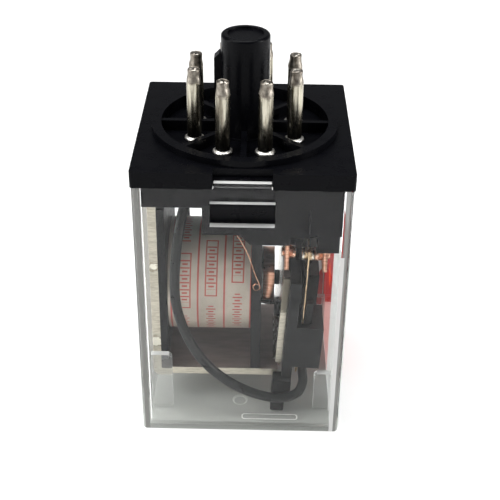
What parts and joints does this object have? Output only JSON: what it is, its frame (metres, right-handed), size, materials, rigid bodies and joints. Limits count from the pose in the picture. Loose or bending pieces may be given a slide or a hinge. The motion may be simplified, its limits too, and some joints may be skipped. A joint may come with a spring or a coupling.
{
  "type": "plug-in relay",
  "caption": "Plug-in changeover relay with an octal pin base, a keyed locating post, a clear clip-on cover, and a hinged armature that moves two contact springs.",
  "frame": {"origin": "centre of the cover's closed end face, the bottom of the part as it stands", "axes": "+Z along the pins, away from the closed end; +X from the yoke towards the armature; the locating key faces -X"},
  "size_m": [0.0344, 0.0344, 0.067],
  "materials": {
    "base_plastic": "moulded, semi-gloss",
    "clear_plastic": "clear polycarbonate, polished",
    "label_film": "printed sticker",
    "pin_nickel": "nickel-plated brass, bright",
    "solder": "tinned, rounded",
    "plated_steel": "zinc-plated, with sheared edges",
    "core_steel": "plain steel",
    "copper": "bright copper",
    "contact_copper": "bright copper rivet",
    "contact_silver": "silver alloy",
    "spring_bronze": "phosphor bronze strip",
    "inner_plastic": "moulded",
    "coil_tape": "cream tape with red marks",
    "magnet_wire": "enamelled copper",
    "lead_insulation": "flexible sleeve",
    "spring_steel": "bright wire"
  },
  "bodies": {
    "frame": {"base": "base_plastic", "bobbin": "inner_plastic", "coil_lead_front": "magnet_wire", "coil_lead_rear": "magnet_wire", "coil_tape": "coil_tape", "coil_winding": "magnet_wire", "core": "core_steel", "cover": "clear_plastic", "label": "label_film", "lead_wire_front": "lead_insulation", "lead_wire_rear": "lead_insulation", "nc_contact_front": "contact_copper", "nc_contact_rear": "contact_copper", "nc_terminal_front": "copper", "nc_terminal_rear": "copper", "no_contact_front": "contact_copper", "no_contact_rear": "contact_copper", "no_terminal_front": "copper", "no_terminal_rear": "copper", "pin_1": "pin_nickel", "pin_2": "pin_nickel", "pin_3": "pin_nickel", "pin_4": "pin_nickel", "pin_5": "pin_nickel", "pin_6": "pin_nickel", "pin_7": "pin_nickel", "pin_8": "pin_nickel", "pin_solder": "solder", "return_spring": "spring_steel", "shading_ring": "copper", "yoke": "plated_steel"},
    "armature": {"armature": "plated_steel", "contact_carrier": "inner_plastic", "moving_blade_front": "spring_bronze", "moving_blade_rear": "spring_bronze"},
    "contact_front": {"moving_contact_front": "contact_silver"},
    "contact_rear": {"moving_contact_rear": "contact_silver"}
  },
  "joints": [
    {"name": "armature_hinge", "type": "hinge", "parent": "frame", "child": "armature", "pos_m": [0.0058, 0, 0.0087], "axis": [0, -1, 0], "range_deg": [0, 4], "stiffness_Nm_per_rad": 0.02, "springref_deg": -5.73, "deforming": ["return_spring", "lead_wire_front", "lead_wire_rear"]},
    {"name": "contact_front_flex", "type": "hinge", "parent": "armature", "child": "contact_front", "pos_m": [0.01045, -0.008, 0.0194], "axis": [0, -1, 0], "range_deg": [-3.12, 0], "deforming": ["moving_blade_front"]},
    {"name": "contact_rear_flex", "type": "hinge", "parent": "armature", "child": "contact_rear", "pos_m": [0.01045, 0.008, 0.0194], "axis": [0, -1, 0], "range_deg": [-3.12, 0], "deforming": ["moving_blade_rear"]}
  ],
  "couplings": [
    {"joint": "contact_front_flex", "follows": "armature_hinge", "ratio": -0.73},
    {"joint": "contact_rear_flex", "follows": "armature_hinge", "ratio": -0.73}
  ]
}
